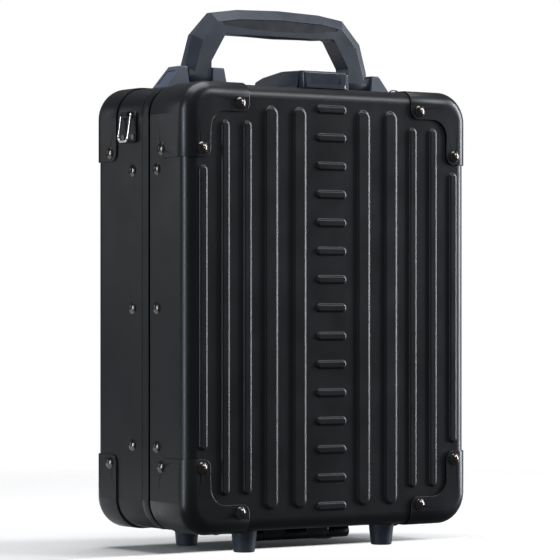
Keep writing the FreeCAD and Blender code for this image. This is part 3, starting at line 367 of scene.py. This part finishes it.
def shade(colour, factor):
    """The colour made darker or lighter by a factor."""
    return tuple(min(1.0, c * factor) for c in colour)


def anodised(name, colour, rough, grain, brushed=None):
    """Bead-blasted anodised metal: fine grain, cloudy handling marks, a little colour drift."""
    f = Finish(name, rough, metallic=0.55, Specular_IOR_Level=0.5)
    f.to("Base Color", f.blend(f.noise(7, 3), shade(colour, 0.88), shade(colour, 1.15)))
    f.to("Roughness", f.spread(f.noise(26, 5, roughness=0.6), rough - 0.035, rough + 0.045))
    f.bump(f.noise(grain, 2), 0.03 * MM, 0.35)
    if brushed is not None:
        f.bump(f.noise(500, 2, stretch=brushed), 0.02 * MM, 0.30)
    return f.mat


def polished(name, colour, rough, wear=0.06):
    """Plated metal: bright, with hazy patches and hair scratches."""
    f = Finish(name, rough, metallic=1.0)
    f.to("Base Color", f.blend(f.noise(60, 4), shade(colour, 0.86), shade(colour, 1.10)))
    f.to("Roughness", f.spread(f.noise(180, 4), rough, rough + wear))
    f.bump(f.noise(900, 2, stretch=(1, 0.15, 1)), 0.01 * MM, 0.25)
    return f.mat


def moulded(name, colour, rough, grain=1500, depth=0.05):
    """Moulded plastic with a spark-eroded grain and slightly uneven gloss."""
    f = Finish(name, rough, Specular_IOR_Level=0.5)
    f.to("Base Color", f.blend(f.noise(14, 3), shade(colour, 0.90), shade(colour, 1.12)))
    f.to("Roughness", f.spread(f.noise(40, 4), rough - 0.05, rough + 0.06))
    f.bump(f.cells(grain), depth * MM, 0.35)
    return f.mat


def rubber(name, colour, rough=0.62):
    """Dense rubber: dull, with fine pitting and dusty scuffs."""
    f = Finish(name, rough, Specular_IOR_Level=0.4)
    f.to("Base Color", f.blend(f.noise(55, 5), shade(colour, 0.85), shade(colour, 1.25)))
    f.to("Roughness", f.spread(f.noise(90, 4), rough - 0.08, rough + 0.10))
    f.bump(f.noise(700, 3), 0.05 * MM, 0.4)
    return f.mat


def woven(name, colour, thread=1100.0):
    """Plain weave: two crossed waves in cloth metres multiplied together, and a soft nap."""
    f = Finish(name, 0.82, Sheen_Weight=0.25, Sheen_Roughness=0.5, Specular_IOR_Level=0.3)
    warp = f.wave(thread, "X")
    weft = f.wave(thread, "Y")
    cloth = f.both(warp, weft)
    drift = f.both(cloth, f.noise(35, 4), "ADD")
    f.to("Base Color", f.blend(drift, shade(colour, 0.62), shade(colour, 1.35)))
    f.to("Roughness", f.spread(f.noise(120, 3), 0.76, 0.90))
    f.bump(cloth, 0.10 * MM, 0.6)
    f.bump(f.noise(60, 3), 0.25 * MM, 0.25)
    return f.mat


def webbing(name, colour):
    """Binding tape: ribs across the tape and a fleck of colour."""
    f = Finish(name, 0.72, Sheen_Weight=0.15, Sheen_Roughness=0.4, Specular_IOR_Level=0.35)
    ribs = f.wave(420, "X")
    fleck = f.both(ribs, f.noise(50, 3), "ADD")
    f.to("Base Color", f.blend(fleck, shade(colour, 0.7), shade(colour, 1.3)))
    f.to("Roughness", f.spread(f.noise(90, 3), 0.66, 0.80))
    f.bump(ribs, 0.12 * MM, 0.6)
    return f.mat


# ---- dressing a CAD node ----
def dress(name, finish, edge=0.0):
    """Gives a node its finish; edge breaks its sharp edges by that width."""
    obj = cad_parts[name]
    obj.data.materials.clear()
    obj.data.materials.append(finish)
    if edge > 0:
        weld = obj.modifiers.new("joined triangles", "WELD")
        weld.merge_threshold = 0.002 * MM
        bevel = obj.modifiers.new("broken edges", "BEVEL")
        bevel.width = edge
        bevel.segments = 2
        bevel.limit_method = "ANGLE"
        bevel.angle_limit = math.radians(32)
        bevel.harden_normals = False
        bevel.use_clamp_overlap = True


def dress_all(names, finish, edge=0.0):
    """Gives every node in a list the same finish and edge."""
    for name in names:
        dress(name, finish, edge)


def named(part):
    """Nodes whose name holds these letters, in order of name."""
    return [n for n in sorted(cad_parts) if part in n]


def soft_piece(obj, body, finish, slot, *nodes):
    """Gives a new piece its finish and the body it rides on, and hides the nodes it stands for;
    slot is not used.
    """
    obj.data.materials.append(finish)
    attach(obj, body)
    if nodes:
        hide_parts(*nodes)
    return obj


# ---- operators: metal ----
class CASE_OT_shells(Operator):
    """Pressed and anodised shells and their frames"""
    bl_idname = "case.shells"
    bl_label = "Shells and frames"

    def execute(self, context):
        look = context.scene.case_finishes
        skin = anodised("anodised_shell", look.anodised, 0.34, 2600)
        darker = shade(look.anodised, 0.8)
        rail = anodised("anodised_frame", darker, 0.34, 2600, brushed=(1, 0.04, 1))
        dress_all(["lid_shell", "rear_shell"], skin, look.bevel)
        dress_all(["lid_frame", "rear_frame"], rail, look.bevel)
        return {"FINISHED"}


class CASE_OT_guards(Operator):
    """Anodised corner guards with broken edges"""
    bl_idname = "case.guards"
    bl_label = "Corner guards"

    def execute(self, context):
        look = context.scene.case_finishes
        skin = anodised("anodised_guard", shade(look.anodised, 1.1), 0.33, 2600)
        for name in named("_guard_"):
            if not name.endswith("rivets"):
                dress(name, skin, look.bevel)
        return {"FINISHED"}


class CASE_OT_rivets(Operator):
    """Domed rivets, screws, pins, the hinge and the small steel parts"""
    bl_idname = "case.rivets"
    bl_label = "Rivets, screws and pins"

    def execute(self, context):
        look = context.scene.case_finishes
        nickel = polished("dark_nickel", look.nickel, 0.16, 0.10)
        steel = polished("plated_steel", (0.45, 0.45, 0.46), 0.25, 0.10)
        black = polished("black_steel", (0.045, 0.046, 0.050), 0.30, 0.12)
        dress_all(named("guard_rivets") + named("frame_rivets") + ["ring_plate_rivets"], nickel)
        dress_all(["striker_rivets", "lock_screws", "lid_foot_screws", "rear_foot_screws",
                   "handle_lug_screws", "handle_pivot_pins", "lever_pin", "hook_pin", "dial_axle",
                   "lock_base", "lock_hook", "lock_striker", "handle_backing_plates"], steel)
        leaves = named("hinge_leaf")
        dress_all([n for n in named("hinge") if n not in leaves], black)
        dress_all(leaves, black, look.bevel)
        return {"FINISHED"}


class CASE_OT_handle(Operator):
    """Handle arch, soft grip and the two lugs"""
    bl_idname = "case.handle"
    bl_label = "Handle"

    def execute(self, context):
        look = context.scene.case_finishes
        # One slate plastic in two copies: darker on the handle as painted shade, lighter on the
        # lugs as painted light, for how their faces catch the light
        slate = moulded("slate_plastic_painted_shade", shade(look.slate, 0.66), 0.38)
        lug = moulded("lug_plastic_painted_light", shade(look.slate, 1.25), 0.42)
        soft = rubber("soft_grip", shade(look.slate, 0.28), 0.72)
        dress("handle_frame", slate, 2.2 * look.bevel)
        dress("handle_grip", soft, 2.2 * look.bevel)
        dress_all(["handle_lug_left", "handle_lug_right"], lug, 2.0 * look.bevel)
        return {"FINISHED"}


class CASE_OT_lock(Operator):
    """Lock housing, lifting front cap and number dials"""
    bl_idname = "case.lock"
    bl_label = "Lock"

    def execute(self, context):
        look = context.scene.case_finishes
        metal = moulded("lock_metal", shade(look.slate, 0.55), 0.36, 2200, 0.03)
        cap = moulded("lock_cap", shade(look.slate, 0.60), 0.26, 2200, 0.02)
        wheel = moulded("dial_wheel", shade(look.slate, 0.35), 0.34, 1800, 0.03)
        dress("lock_housing", metal, look.bevel)
        dress("lock_lever", cap, 2.0 * look.bevel)
        dials = named("dial_left") + named("dial_middle") + named("dial_right")
        dress_all(dials, wheel, look.bevel)
        return {"FINISHED"}


class CASE_OT_feet(Operator):
    """Tapered rubber feet"""
    bl_idname = "case.feet"
    bl_label = "Feet"

    def execute(self, context):
        look = context.scene.case_finishes
        black = rubber("foot_rubber", shade(look.slate, 0.85), 0.5)
        feet = ["lid_foot_left", "lid_foot_right", "rear_foot_left", "rear_foot_right"]
        dress_all(feet, black)
        return {"FINISHED"}


class CASE_OT_strap_rings(Operator):
    """Chromed strap rings on their riveted plates"""
    bl_idname = "case.strap_rings"
    bl_label = "Strap rings"

    def execute(self, context):
        look = context.scene.case_finishes
        chrome = polished("chrome", look.chrome, 0.07, 0.06)
        dress_all(["strap_ring_left", "strap_ring_right"], chrome)
        plate = anodised("anodised_plate", shade(look.anodised, 0.8), 0.36, 2600)
        dress_all(["ring_plate_left", "ring_plate_right"], plate, look.bevel)
        return {"FINISHED"}


# ---- operators: soft pieces ----
def channels(points, pitch, swell, fade):
    """Swell of sewn vertical channels, at each point.

    It is the size of the sine of pi times x over the pitch, raised to 0.55 so the seams stay
    narrow, times the swell and the fade.
    """
    arch = np.abs(np.sin(np.pi * points[..., 0] / pitch)) ** 0.55
    return swell * arch * fade


def pad_rows(y_back, y_front, crown, rim=9, panel=60):
    """Profile of a pad: out from the back's middle, round the edge and in over a crowned front.

    The edge is a half circle over the thickness. The front rises by the crown times 1 less the
    fourth power of the scale, so it is highest at the middle and level at the rim.
    """
    half = (y_front - y_back) / 2
    middle = (y_front + y_back) / 2
    turn = np.linspace(-math.pi / 2, math.pi / 2, rim)
    inset = abs(half) * (1 - np.cos(turn))
    edge = np.stack([inset, np.ones(rim), middle + half * np.sin(turn)], axis=1)
    scale = np.linspace(0, 1, panel, endpoint=False)
    lift = crown * (1 - scale ** 4)
    out = np.linspace(0, 1, 12, endpoint=False)
    back = np.stack([np.full(12, abs(half)), out, np.full(12, y_back)], axis=1)
    crowned = y_front + math.copysign(1, half) * lift
    front = np.stack([np.full(panel, abs(half)), scale, crowned], axis=1)
    return np.concatenate([back, edge, front[::-1]])


def tray_rows(panel_y, open_y, opens):
    """Profile of a lining tray, and the scales of its panel.

    Out over the back of the panel, along the wall to its lip, round the lip, back down inside the
    wall, round the bend and in over the panel to the middle. The lip's inset is half the thickness
    times 1 less the cosine of the turn, and its depth follows the sine. The bend is a quarter
    circle. opens is the way the tray faces, 1 or -1.
    """
    thick = LINING_THICKNESS
    lip_y = open_y - opens * thick / 2
    rows = [(0.0, s, panel_y) for s in np.linspace(0, 0.99, 6)]
    rows += [(0.0, 1.0, y) for y in np.linspace(panel_y, lip_y, 8)]
    turn = np.linspace(0.3, math.pi - 0.3, 7)
    rows += [(thick / 2 * (1 - math.cos(t)), 1.0, open_y - opens * thick / 2 * (1 - math.sin(t)))
             for t in turn]
    inner_y = panel_y + opens * thick
    rows += [(thick, 1.0, y) for y in np.linspace(lip_y, inner_y + opens * LINING_BEND, 10)]
    corner = np.linspace(0, math.pi / 2, 9)[1:]
    rows += [(thick + LINING_BEND * (1 - math.cos(t)), 1.0,
              inner_y + opens * LINING_BEND * (1 - math.sin(t))) for t in corner]
    scales = np.linspace(1, 0, 70)[1:]
    rows += [(thick + LINING_BEND, s, inner_y) for s in scales]
    return rows, scales


class CASE_OT_linings(Operator):
    """Padded lining trays of both halves"""
    bl_idname = "case.linings"
    bl_label = "Linings"

    def execute(self, context):
        soft = context.scene.case_soft
        cloth = woven("lining_cloth", context.scene.case_finishes.cloth)
        for node, body, opens in (("lid_lining", "lid", 1), ("rear_lining", "rear_half", -1)):
            low, high = corner_low(node), corner_high(node)
            path, normals, even = outline(high[0], low[2], high[2], [LINING_RADIUS] * 4,
                                          soft.outline_points)
            panel_y, open_y = (low[1], high[1]) if opens > 0 else (high[1], low[1])
            rows, scales = tray_rows(panel_y, open_y, opens)
            points = carried(path, normals, rows)
            fade = np.zeros((len(rows), 1))
            fade[-len(scales):, 0] = np.clip((1 - scales) / 0.10, 0, 1) ** 0.6
            swell = channels(points, soft.channel_pitch, soft.channel_swell, fade)
            points[..., 1] += opens * swell
            obj = surface(node + "_cloth", points, cloth_uv(points, even), poles=(True, True))
            soft_piece(obj, body, cloth, "lining", node)
        return {"FINISHED"}


def pocket_cloth(half_w, foot, top, base_y, lift, phase):
    """A pocket's cloth: a flat sheet pushed out by hold times the sum of lift and ripple.

    hold is 1 less the sixth power of the place across, times 1 less a falling exponential of the
    height over the foot, so the sides and the foot stay sewn down. The ripple is a small sine
    across, which grows with the square of the height.
    """
    a = np.linspace(-1, 1, 121)[None]
    b = np.linspace(0, 1, 90)[:, None]
    x, z = np.broadcast_arrays(a * (half_w - POCKET_MARGIN), foot + b * (top - foot))
    hold = (1 - np.abs(a) ** 6) * (1 - np.exp(-(z - foot) / (22 * MM)))
    ripple = 0.35 * MM * np.sin(x / (17 * MM) + phase) * b ** 2
    return np.stack([x, base_y + hold * (lift + ripple), z], axis=-1)


def hem_loop(edge):
    """Folded tape over an edge line: a flat rounded loop carried along it, and its cloth places.

    Across and down are the cosine and sine of the turn, each raised to the power 0.6 with its sign
    kept, times the loop's half width and half height. Each end shrinks to the loop's middle.
    """
    turn = np.linspace(0, 2 * math.pi, 20, endpoint=False)
    power = 0.6
    across = 1.1 * MM * np.sign(np.cos(turn)) * np.abs(np.cos(turn)) ** power
    down = 6.5 * MM * np.sign(np.sin(turn)) * np.abs(np.sin(turn)) ** power - 5 * MM
    points = edge[:, None] + np.stack([np.zeros(20), across, down], axis=-1)[None]
    ends = points[[0, -1]].mean(axis=1, keepdims=True) * np.ones((1, 20, 1))
    points = np.concatenate([ends[:1], points, ends[1:]])
    steps = np.linalg.norm(np.diff(points[:, 0], axis=0), axis=1)
    along = np.concatenate([[0], np.cumsum(steps)])
    return points, np.stack(np.broadcast_arrays(along[:, None], down[None]), axis=-1)


class CASE_OT_organiser(Operator):
    """Document organiser: padded back board and three gaping pockets with taped hems"""
    bl_idname = "case.organiser"
    bl_label = "Document organiser"

    def execute(self, context):
        soft = context.scene.case_soft
        look = context.scene.case_finishes
        cloth = woven("pocket_cloth", shade(look.cloth, 1.35), 900.0)
        tape = webbing("hem_tape", shade(look.cloth, 0.8))
        low, high = corner_low("document_organiser"), corner_high("document_organiser")
        half_w = high[0]
        step = (high[1] - low[1]) / 4
        path, normals, even = outline(half_w, low[2], high[2], [BOARD_RADIUS] * 4,
                                      soft.outline_points)
        points = carried(path, normals, pad_rows(low[1], low[1] + step, 0.6 * MM))
        back = surface("organiser_board", points, cloth_uv(points, even), poles=(True, True))
        soft_piece(back, "lid", cloth, "lining", "document_organiser")
        height = high[2] - low[2]
        middle = (high[2] + low[2]) / 2
        for i, (word, share) in enumerate(POCKETS):
            z0 = low[2] + POCKET_FOOT
            z1 = middle + share * height / 2
            lift = soft.pocket_gape * (0.45 + 0.275 * i)
            base_y = low[1] + step + (1 + i) * POCKET_STEP
            points = pocket_cloth(half_w, z0, z1, base_y, lift, i)
            pocket = surface("pocket_" + word, points, points[..., [0, 2]], round_u=False)
            wall = pocket.modifiers.new("cloth thickness", "SOLIDIFY")
            wall.thickness = soft.cloth_thickness
            wall.offset = 0
            soft_piece(pocket, "lid", cloth, "lining", "document_organiser")
            loop, places = hem_loop(points[-1])
            hem = surface("pocket_hem_" + word, loop, places, poles=(True, True))
            soft_piece(hem, "lid", tape, "lining")
        return {"FINISHED"}


def binding_rows(mid_y, reach):
    """Profile of the tape round the divider, an ellipse.

    The inset is 3.6 mm less 3.3 mm times the cosine of the turn. The depth is the middle plus the
    reach times its sine.
    """
    turn = np.linspace(0, 2 * math.pi, 16, endpoint=False)
    inset = 3.6 * MM - 3.3 * MM * np.cos(turn)
    rows = np.stack([inset, np.ones(16), mid_y + reach * np.sin(turn)], axis=1)
    return np.concatenate([rows, rows[:1]])


class CASE_OT_divider(Operator):
    """Padded divider that makes the laptop sleeve"""
    bl_idname = "case.divider"
    bl_label = "Laptop divider"

    def execute(self, context):
        soft = context.scene.case_soft
        look = context.scene.case_finishes
        cloth = woven("divider_cloth", shade(look.cloth, 1.15))
        tape = webbing("divider_tape", shade(look.cloth, 0.7))
        low, high = corner_low("laptop_divider"), corner_high("laptop_divider")
        path, normals, even = outline(high[0], low[2], high[2], DIVIDER_RADII,
                                      soft.outline_points)
        rows = pad_rows(high[1], low[1] + 1.2 * MM, 0.4 * MM, panel=70)
        points = carried(path, normals, rows)
        fade = np.clip((1 - rows[:, 1]) / 0.08, 0, 1) ** 0.6 * (rows[:, 2] < low[1] + 2 * MM)
        points[..., 1] -= channels(points, soft.channel_pitch, soft.channel_swell, fade[:, None])
        pad = surface("divider_pad", points, cloth_uv(points, even), poles=(True, True))
        soft_piece(pad, "rear_half", cloth, "padding", "laptop_divider")
        points = carried(path, normals, binding_rows((low[1] + high[1]) / 2, 4.1 * MM))
        welt = surface("divider_binding", points, cloth_uv(points, even))
        merge_rim(welt)
        soft_piece(welt, "rear_half", tape, "padding")
        return {"FINISHED"}


def merge_rim(obj):
    """Joins a closed profile's first and last rows, and turns the faces outwards again."""
    work = bmesh.new()
    work.from_mesh(obj.data)
    bmesh.ops.remove_doubles(work, verts=work.verts, dist=0.01 * MM)
    bmesh.ops.recalc_face_normals(work, faces=work.faces)
    work.to_mesh(obj.data)
    work.free()


def seal_rows(y_base, y_top):
    """Profile of the seal: a flat base, and a dome as high as the sine of its turn raised to 0.7.

    The dome's inset is half the width times 1 plus the cosine of the turn.
    """
    base = np.linspace(0, 1, 5)[:, None]
    flat = np.concatenate([base * SEAL_WIDTH, np.ones((5, 1)), np.full((5, 1), y_base)], axis=1)
    turn = np.linspace(0, math.pi, 13)[1:]
    dome = np.stack([SEAL_WIDTH / 2 * (1 + np.cos(turn)), np.ones(12),
                     y_base + (y_top - y_base) * np.sin(turn) ** 0.7], axis=1)
    return np.concatenate([flat, dome])


class CASE_OT_seal(Operator):
    """Rubber seal in the lid's channel"""
    bl_idname = "case.seal"
    bl_label = "Lid seal"

    def execute(self, context):
        finish = rubber("seal_rubber", (0.012, 0.012, 0.013), 0.55)
        low, high = corner_low("lid_seal"), corner_high("lid_seal")
        path, normals, even = outline(high[0], low[2], high[2], [SEAL_RADIUS] * 4, SEAL_POINTS)
        points = carried(path, normals, seal_rows(low[1], high[1]))
        obj = surface("seal_bead", points, cloth_uv(points, even))
        merge_rim(obj)
        soft_piece(obj, "lid", finish, "seal_rubber", "lid_seal")
        return {"FINISHED"}


# ---- stage ----
def area_light(name, place, aim, size, power, tint):
    """Soft rectangular light at a place, turned to face a point."""
    data = bpy.data.lights.new(name, "AREA")
    data.shape = "RECTANGLE"
    data.size, data.size_y = size
    data.energy = power
    data.color = tint
    lamp = bpy.data.objects.new(name, data)
    bpy.context.scene.collection.objects.link(lamp)
    lamp.location = place
    aim_line = np.array(aim) - np.array(place)
    lamp.rotation_euler = Vector(aim_line.tolist()).to_track_quat("-Z", "Y").to_euler()


def pale_floor():
    """White floor that fades out in a circle, and from the lid forward so the opened lid shows."""
    pale = Finish("pale_floor", 0.7)
    pale.to("Base Color", pale.blend(pale.noise(0.6, 2), (0.86, 0.86, 0.86), (0.88, 0.88, 0.88)))
    ball = pale.node("TexGradient", gradient_type="SPHERICAL")
    pale.links.new(pale.coordinates("Object", (0.65, 0.65, 0.65)), ball.inputs["Vector"])
    parts = pale.node("SeparateXYZ")
    pale.links.new(pale.coordinates("Object"), parts.inputs["Vector"])
    round_fade = pale.spread(ball.outputs["Fac"], 0.0, 1.0, 0.02, 0.6)
    lid_room = pale.spread(parts.outputs["Y"], 0.0, 1.0, FADE_START, FADE_END)
    pale.to("Alpha", pale.both(round_fade, lid_room))
    return pale.mat


def room(scene, strength):
    """Dim even light from all round. The camera sees plain white in its place."""
    world = bpy.data.worlds.new("room")
    scene.world = world
    world.use_nodes = True
    nodes = world.node_tree.nodes
    links = world.node_tree.links
    sky = nodes["Background"]
    sky.inputs["Color"].default_value = (0.93, 0.96, 1.0, 1)
    sky.inputs["Strength"].default_value = strength
    wall = nodes.new("ShaderNodeBackground")
    wall.inputs["Strength"].default_value = 1.0
    wall.inputs["Color"].default_value = (1, 1, 1, 1)
    seen = nodes.new("ShaderNodeLightPath")
    either = nodes.new("ShaderNodeMixShader")
    links.new(seen.outputs["Is Camera Ray"], either.inputs[0])
    links.new(sky.outputs[0], either.inputs[1])
    links.new(wall.outputs[0], either.inputs[2])
    links.new(either.outputs[0], nodes["World Output"].inputs["Surface"])


def set_camera(scene, stage):
    """Level camera, its distance back from the case's front along the turned line of sight."""
    camera = bpy.data.cameras.new("camera")
    camera.lens = LENS
    camera.sensor_width = SENSOR
    camera.shift_y = SHIFT_UP
    camera.clip_end = VIEW_DEPTH
    eye = bpy.data.objects.new("camera", camera)
    scene.collection.objects.link(eye)
    turn = stage.turn
    ahead = np.array([math.sin(turn), math.cos(turn)])
    right = np.array([math.cos(turn), -math.sin(turn)])
    place = np.array([0, CASE_FRONT]) - stage.distance * ahead - SIDE_STEP * right
    eye.location = (place[0], place[1], stage.eye)
    eye.rotation_euler = (math.pi / 2, 0, -turn)
    scene.camera = eye


class CASE_OT_stage(Operator):
    """Pale floor, soft lights and the camera"""
    bl_idname = "case.stage"
    bl_label = "Stage"

    def execute(self, context):
        scene = context.scene
        reach = np.linspace(-FLOOR_REACH, FLOOR_REACH, 25)
        x, y = np.meshgrid(reach, reach)
        level = np.zeros_like(x) - FLOOR_DROP
        floor = surface("floor", np.stack([x, y, level], axis=-1), round_u=False)
        floor.data.materials.append(pale_floor())
        room(scene, scene.case_stage.world_light)
        for light in LIGHTS:
            area_light(*light)
        set_camera(scene, scene.case_stage)
        scene.view_settings.view_transform = "Standard"
        return {"FINISHED"}


class CASE_PT_panel(Panel):
    """Lists the case's pieces"""
    bl_idname = "CASE_PT_panel"
    bl_label = "Attache case"
    bl_space_type = "VIEW_3D"
    bl_region_type = "UI"
    bl_category = "Attache case"

    def draw(self, context):
        for group in ("case_finishes", "case_soft", "case_stage"):
            settings = getattr(context.scene, group)
            box = self.layout.box()
            for key in settings.__annotations__:
                box.prop(settings, key)
        for operator in OPERATORS:
            self.layout.operator(operator.bl_idname)


OPERATORS = (CASE_OT_shells, CASE_OT_guards, CASE_OT_rivets, CASE_OT_handle, CASE_OT_lock,
             CASE_OT_feet, CASE_OT_strap_rings, CASE_OT_linings, CASE_OT_organiser,
             CASE_OT_divider, CASE_OT_seal, CASE_OT_stage)
CLASSES = (CaseFinishes, CaseSoftParts, CaseStage) + OPERATORS + (CASE_PT_panel,)


def register():
    """Adds the classes, and the settings to the scene."""
    for cls in CLASSES:
        bpy.utils.register_class(cls)
    bpy.types.Scene.case_finishes = PointerProperty(type=CaseFinishes)
    bpy.types.Scene.case_soft = PointerProperty(type=CaseSoftParts)
    bpy.types.Scene.case_stage = PointerProperty(type=CaseStage)


def unregister():
    """Takes them away again, in the other order."""
    del bpy.types.Scene.case_stage
    del bpy.types.Scene.case_soft
    del bpy.types.Scene.case_finishes
    for cls in reversed(CLASSES):
        bpy.utils.unregister_class(cls)


def main():
    """Makes every piece in order."""
    register()
    for operator in OPERATORS:
        group, name = operator.bl_idname.split(".")
        getattr(getattr(bpy.ops, group), name)()


if __name__ == "__main__":
    main()
